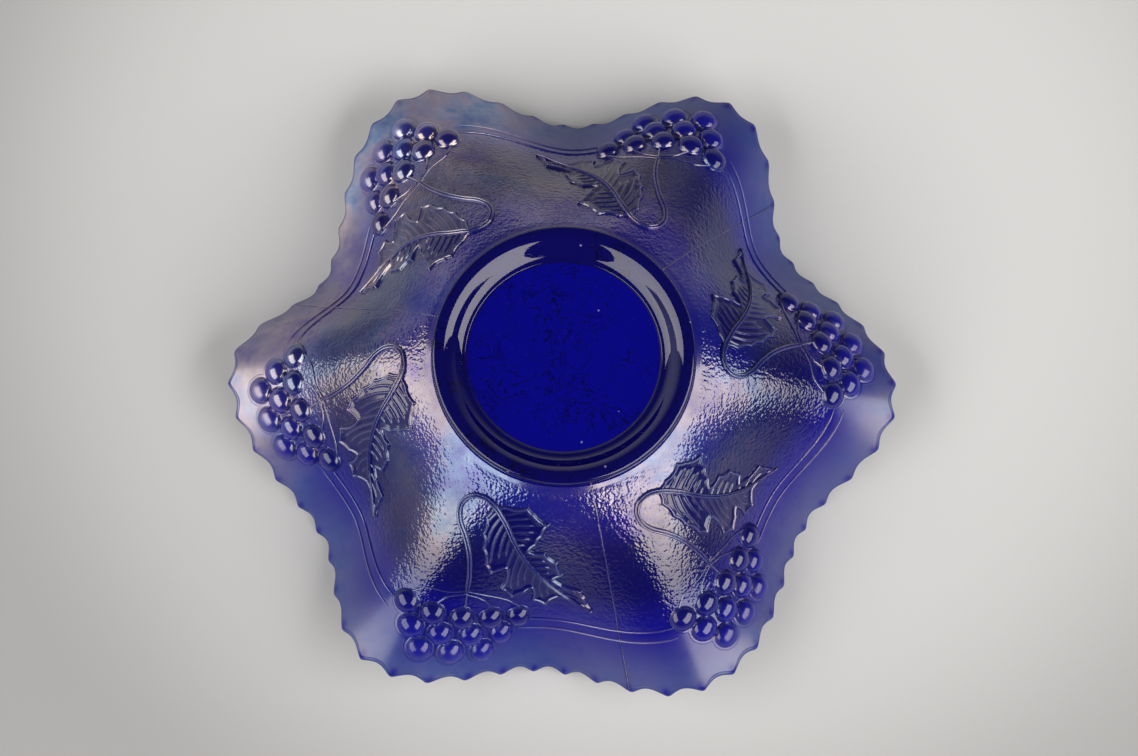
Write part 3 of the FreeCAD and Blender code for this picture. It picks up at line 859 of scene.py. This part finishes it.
def double_section():
    """Section of the stem: two round ridges with a groove between, flat underneath."""
    y = np.linspace(-1.0, 1.0, 17)
    ridges = np.sqrt(np.clip(1.0 - (2.0 * np.abs(np.abs(y) - 0.5)) ** 2, 0.0, 1.0))
    h = 0.95 * ridges + 0.12 * (1.0 - y * y)
    return np.append(y, [0.8, -0.8]) * 0.5, np.append(h, [-0.35, -0.35])


def round_section():
    """Section of a fine line: a half-round top on a sunk flat base."""
    t = np.linspace(np.pi, 0.0, 9)
    return np.append(np.cos(t), [0.8, -0.8]) * 0.5, np.append(np.sin(t), [-0.5, -0.5])


def stalk_stop(phi):
    """Distance out at which a stalk ends at the first row of grapes."""
    relief = bpy.context.scene.bowl_relief
    row = GRAPE_ROWS[0][0]
    run = np.linalg.norm(skin(row, phi) - skin(row - 0.05, phi)) / 0.05
    return row - 0.95 * relief.grape_radius / run


def stem(k):
    """Stem, loop and midrib in one double line, then five round stalks to the first grapes."""
    relief = bpy.context.scene.bowl_relief
    at = MOTIF_AT + SECTOR_TURN * k
    turn = np.array([at, 0.0])
    whole = through(STEM[:-1] + MIDRIB, STEM_STEPS)
    far = np.linspace(0.0, 1.0, STEM_STEPS)
    width = relief.stem_width * (1.0 - 0.62 * smooth_step(far, 0.45, 1.0))
    width = width * (0.55 + 0.45 * smooth_step(far, 0.0, 0.03))
    on_leaf = smooth_step(far, 0.40, 0.50) * (1.0 - 0.5 * smooth_step(far, 0.97, 1.0))
    y, h = double_section()
    parts = [tube_along(whole + turn, y, h, width, on_leaf * relief.leaf_height * 0.8)]
    first, step = GRAPE_ROWS[0][1:3]
    y, h = round_section()
    for i, path in enumerate(STALKS):
        grape = first + step * i
        line = through(path + ((grape, stalk_stop(at + grape)),), STALK_STEPS)
        taper = 0.55 + 0.45 * np.linspace(0.0, 1.0, STALK_STEPS)
        parts.append(tube_along(line + turn, y, h * 0.7, STALK_WIDTH * taper, np.zeros(STALK_STEPS)))
    points, quads, caps = joined(parts)
    return points, quads, caps, plain_marks(points, 0.5)


def band_line(middle):
    """Fine raised line round the bowl in six arcs that stop beside each cluster."""
    relief = bpy.context.scene.bowl_relief
    y, h = round_section()
    parts = []
    for k in range(SECTORS):
        start = MOTIF_AT + SECTOR_TURN * k + BAND_CLEAR
        phi = np.linspace(start, start + SECTOR_TURN - 2 * BAND_CLEAR, BAND_STEPS)
        path = np.stack([phi, np.full(BAND_STEPS, middle)], -1)
        step = np.arange(BAND_STEPS)
        ends = np.minimum(1.0, np.minimum(step, step[::-1]) / 6.0)
        parts.append(tube_along(path, y, h * relief.band_height / LINE_WIDTH,
                                LINE_WIDTH * (0.3 + 0.7 * ends), np.zeros(BAND_STEPS)))
    return joined(parts)


def mould_seam(k):
    """Thin raised line where two parts of the mould met, from the foot to the rim."""
    y, h = round_section()
    turn = np.full(SEAM_STEPS, SEAM_AT + THIRD_TURN * k)
    path = np.stack([turn, np.linspace(0.012, 0.985, SEAM_STEPS)], -1)
    draw = np.random.default_rng(7 + k)
    uneven = np.convolve(draw.random(SEAM_STEPS + 8), np.ones(9) / 9.0, "valid")
    points, quads, caps = tube_along(path, y, h * 0.7, 0.40 + 0.10 * uneven, 0.6 * (uneven - 0.6))
    return points, quads, caps, plain_marks(points, 0.5)


# ---------------------------------------------------------------- operators

def add_numbered(prefix, count, shape, kind):
    """Make the filmed pieces prefix_1, prefix_2 and so on from shape(0), shape(1) and so on."""
    for k in range(count):
        points, quads, caps, marks = shape(k)
        name = "%s_%d" % (prefix, k + 1)
        add_piece("glass_" + name, points, quads, caps, ready_material(kind), [name],
                  marks)


class GLASS_OT_wall(bpy.types.Operator):
    """Make the three thirds of the wall"""
    bl_idname = "glass_bowl.wall"
    bl_label = "Wall"

    def execute(self, context):
        add_numbered("wall_third", THIRDS, wall_third, "filmed_wall")
        return {"FINISHED"}


class GLASS_OT_rim(bpy.types.Operator):
    """Make the scalloped rim's bead"""
    bl_idname = "glass_bowl.rim"
    bl_label = "Scalloped rim"

    def execute(self, context):
        points, quads, caps, marks = rim_bead()
        add_piece("glass_scalloped_rim", points, quads, caps, ready_material("filmed_edge"),
                  ["scalloped_rim"], marks)
        return {"FINISHED"}


class GLASS_OT_foot(bpy.types.Operator):
    """Make the collar foot and the base disc"""
    bl_idname = "glass_bowl.foot"
    bl_label = "Foot and base"

    def execute(self, context):
        for name, shape, kind in (("foot_ring", foot_ring(), "bare_foot"),
                                  ("base_disc", base_disc(), "bare_base")):
            points, quads, caps = shape
            add_piece("glass_" + name, points, quads, caps, ready_material(kind), [name])
        return {"FINISHED"}


class GLASS_OT_grapes(bpy.types.Operator):
    """Make the six grape clusters"""
    bl_idname = "glass_bowl.grapes"
    bl_label = "Grape clusters"

    def execute(self, context):
        add_numbered("grape_cluster", SECTORS, grape_cluster, "filmed_grape")
        return {"FINISHED"}


class GLASS_OT_leaves(bpy.types.Operator):
    """Make the six leaves"""
    bl_idname = "glass_bowl.leaves"
    bl_label = "Leaves"

    def execute(self, context):
        add_numbered("leaf", SECTORS, leaf, "filmed_relief")
        return {"FINISHED"}


class GLASS_OT_stems(bpy.types.Operator):
    """Make the six stems with their stalks"""
    bl_idname = "glass_bowl.stems"
    bl_label = "Stems"

    def execute(self, context):
        add_numbered("stem", SECTORS, stem, "filmed_relief")
        return {"FINISHED"}


class GLASS_OT_lines(bpy.types.Operator):
    """Make the twin band lines and the three mould seams"""
    bl_idname = "glass_bowl.lines"
    bl_label = "Lines and seams"

    def execute(self, context):
        for name, middle in (("band_line_inner", BAND_AT[0]), ("band_line_outer", BAND_AT[1])):
            points, quads, caps = band_line(middle)
            add_piece("glass_" + name, points, quads, caps, ready_material("filmed_relief"),
                      [name], plain_marks(points, middle))
        add_numbered("mould_seam", THIRDS, mould_seam, "filmed_relief")
        return {"FINISHED"}


def area_light(name, place, power):
    """Window-sized area light at a place, turned to the bowl."""
    data = bpy.data.lights.new(name, "AREA")
    data.shape = "RECTANGLE"
    data.size, data.size_y = WINDOW_SIZE
    data.energy = power
    data.color = WINDOW_COLOUR
    lamp = bpy.data.objects.new(name, data)
    lamp.location = place
    lamp.rotation_euler = (Vector(WINDOW_AIM) - Vector(place)).to_track_quat("-Z", "Y").to_euler()
    bpy.context.collection.objects.link(lamp)


def matt(name, colour):
    """Plain matt floor, with the faintest mottle and a painted pool of light: darker away from the bowl.
    """
    bench = Bench(bpy.data.materials.new(name))
    x, y, _ = bench.parts_of(bench.place())
    aside, ahead = x - 0.03, y - 0.08
    # Painted pool of light: the floor colour is painted darker away from the bowl.
    away = bench.between(aside * aside + ahead * ahead, 0.010, 0.070)
    mottle_and_painted_falloff = 0.94 + 0.06 * bench.noise(3.0, 3.0, 0.5) - 0.44 * away
    shade = bench.blend(mottle_and_painted_falloff, (0.0, 0.0, 0.0), tuple(colour))
    return bench.finish(bench.add("ShaderNodeBsdfPrincipled", None, {
        "Base Color": shade, "Roughness": 0.75, "Specular IOR Level": 0.15}))


def pale_room(name, dark, pale):
    """Room light: dim overhead and in front, pale behind, to the left and along the horizon."""
    bench = Bench(bpy.data.worlds.new(name))
    x, y, z = bench.parts_of(bench.add("ShaderNodeTexCoord", out="Generated"))
    side = bench.between(y * 0.75 - x * 0.65, -0.45, 0.75)
    low = 1.0 - bench.between(z, 0.05, 0.60)
    ring = 1.0 - bench.between(z, 0.08, 0.17)
    shine = dark + (pale - dark) * bench.highest(0.22 * ring, low * side)
    light = bench.add("ShaderNodeBackground", None, {"Color": (0.97, 0.97, 1.0, 1.0), "Strength": shine})
    return bench.finish(light, "ShaderNodeOutputWorld")


class GLASS_OT_stage(bpy.types.Operator):
    """Make the floor, the lights, the room and the camera"""
    bl_idname = "glass_bowl.stage"
    bl_label = "Stage"

    def execute(self, context):
        studio = context.scene.bowl_studio
        mesh = bpy.data.meshes.new("floor")
        w = FLOOR_HALF
        mesh.from_pydata([(-w, -w, 0.0), (w, -w, 0.0), (w, w, 0.0), (-w, w, 0.0)], [], [(0, 1, 2, 3)])
        mesh.materials.append(matt("floor_paper", studio.floor_colour))
        floor = bpy.data.objects.new("floor", mesh)
        context.collection.objects.link(floor)
        area_light("window_left", (-1.25, -0.50, 0.95), studio.left_power)
        area_light("window_right", (1.15, -0.66, 0.97), studio.right_power)
        context.scene.world = pale_room("pale_room", studio.room_dark, studio.room_pale)
        self.camera(context.scene, studio)
        return {"FINISHED"}

    @staticmethod
    def camera(scene, studio):
        """Camera on the -Y side, high over the bowl."""
        data = bpy.data.cameras.new("camera")
        data.lens = LENS
        data.sensor_width = SENSOR
        data.clip_end = 30.0
        aim = Vector(CAMERA_AIM)
        e = studio.camera_elevation
        eye = aim + studio.camera_distance * Vector((0.0, -math.cos(e), math.sin(e)))
        camera = bpy.data.objects.new("camera", data)
        turn = (aim - eye).to_track_quat("-Z", "Y")
        camera.matrix_world = Matrix.Translation(eye) @ turn.to_matrix().to_4x4()
        bpy.context.collection.objects.link(camera)
        scene.camera = camera
        scene.view_settings.view_transform = "Standard"


class GLASS_PT_panel(bpy.types.Panel):
    """Sizes, colours and the steps that build the bowl"""
    bl_idname = "GLASS_PT_panel"
    bl_label = "Glass Bowl"
    bl_space_type = "VIEW_3D"
    bl_region_type = "UI"
    bl_category = "Glass Bowl"

    def draw(self, context):
        for group in (context.scene.bowl_look, context.scene.bowl_relief, context.scene.bowl_studio):
            box = self.layout.box()
            for key in group.__annotations__:
                box.prop(group, key)
        for step in STEPS:
            self.layout.operator(step.bl_idname)


STEPS = (GLASS_OT_wall, GLASS_OT_rim, GLASS_OT_foot, GLASS_OT_grapes, GLASS_OT_leaves,
         GLASS_OT_stems, GLASS_OT_lines, GLASS_OT_stage)
CLASSES = (BowlLook, BowlRelief, StudioSetup) + STEPS + (GLASS_PT_panel,)


def register():
    """Register every class and hang the properties on the scene."""
    for kind in CLASSES:
        bpy.utils.register_class(kind)
    bpy.types.Scene.bowl_look = PointerProperty(type=BowlLook)
    bpy.types.Scene.bowl_relief = PointerProperty(type=BowlRelief)
    bpy.types.Scene.bowl_studio = PointerProperty(type=StudioSetup)


def unregister():
    """Undo register."""
    del bpy.types.Scene.bowl_look
    del bpy.types.Scene.bowl_relief
    del bpy.types.Scene.bowl_studio
    for kind in reversed(CLASSES):
        bpy.utils.unregister_class(kind)


def main():
    register()
    for step in ("wall", "rim", "foot", "grapes", "leaves", "stems", "lines", "stage"):
        getattr(bpy.ops.glass_bowl, step)()
    bpy.context.view_layer.update()


if __name__ == "__main__":
    main()
